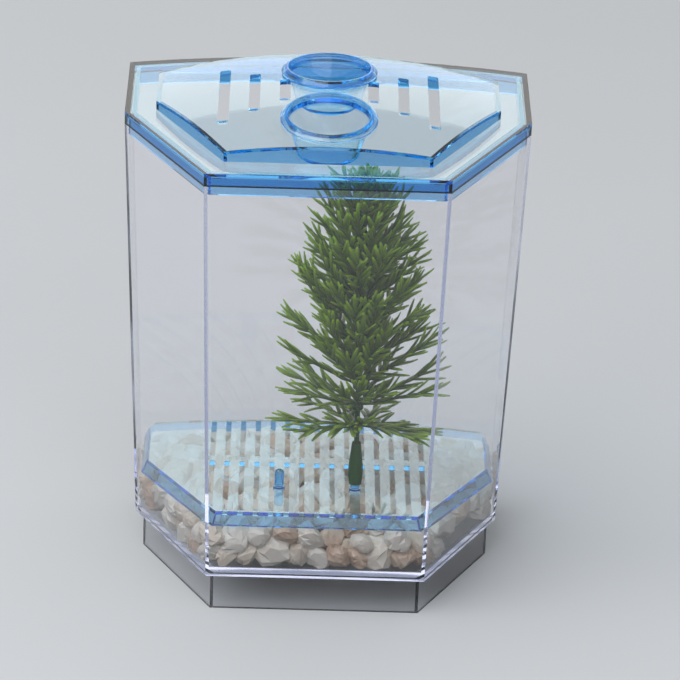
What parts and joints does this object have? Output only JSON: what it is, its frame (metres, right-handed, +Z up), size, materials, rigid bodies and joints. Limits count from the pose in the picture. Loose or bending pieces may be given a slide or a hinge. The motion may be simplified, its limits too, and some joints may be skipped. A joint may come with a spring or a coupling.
{
  "type": "fish breeding box",
  "caption": "Clear six-sided tank on a plinth with a domed vented lid, two lift-out feeding cups, a slotted tray on gravel and a leafy plant on a peg.",
  "frame": {"origin": "centre of the footprint, on the surface that the plinth stands on", "axes": "+Z up, front wall towards -Y, +X to the right seen from the front"},
  "size_m": [0.1518, 0.1138, 0.1982],
  "materials": {
    "clear_tank": "polished clear polystyrene with a faint blue cast at the edges",
    "clear_lid": "polished clear polystyrene, pale blue tint, deep blue at the edges",
    "blue_cup": "polished clear polystyrene, blue tint",
    "blue_tray": "polished clear polystyrene, pale blue tint",
    "gravel": "rough broken white quartz",
    "dark_stem": "soft moulded polyethylene, dark green",
    "leaf": "soft moulded polyethylene, satin leaf green"
  },
  "bodies": {
    "tank": {"tank": "clear_tank", "lower_gravel": "gravel", "upper_gravel": "gravel"},
    "lid": {"lid": "clear_lid"},
    "front_cup": {"front_cup": "blue_cup"},
    "rear_cup": {"rear_cup": "blue_cup"},
    "tray": {"tray": "blue_tray"},
    "plant": {"plant_foot": "dark_stem", "plant_stem": "dark_stem", "leaf_tier_01": "leaf", "leaf_tier_02": "leaf", "leaf_tier_03": "leaf", "leaf_tier_04": "leaf", "leaf_tier_05": "leaf", "leaf_tier_06": "leaf", "leaf_tier_07": "leaf", "leaf_tier_08": "leaf", "leaf_tier_09": "leaf", "leaf_tier_10": "leaf", "leaf_tier_11": "leaf", "leaf_tier_12": "leaf"}
  },
  "joints": [
    {"name": "lid_lift", "type": "slide", "parent": "tank", "child": "lid", "axis": [0, 0, 1], "range_m": [0, 0.03]},
    {"name": "front_cup_lift", "type": "slide", "parent": "lid", "child": "front_cup", "axis": [0, -0.1124, 0.9937], "range_m": [0, 0.02]},
    {"name": "rear_cup_lift", "type": "slide", "parent": "lid", "child": "rear_cup", "axis": [0, 0.0479, 0.9989], "range_m": [0, 0.02]},
    {"name": "tray_lift", "type": "slide", "parent": "tank", "child": "tray", "axis": [0, 0, 1], "range_m": [0, 0.008]},
    {"name": "plant_pull", "type": "slide", "parent": "tray", "child": "plant", "axis": [0, 0.0732, 0.9973], "range_m": [0, 0.006]}
  ]
}
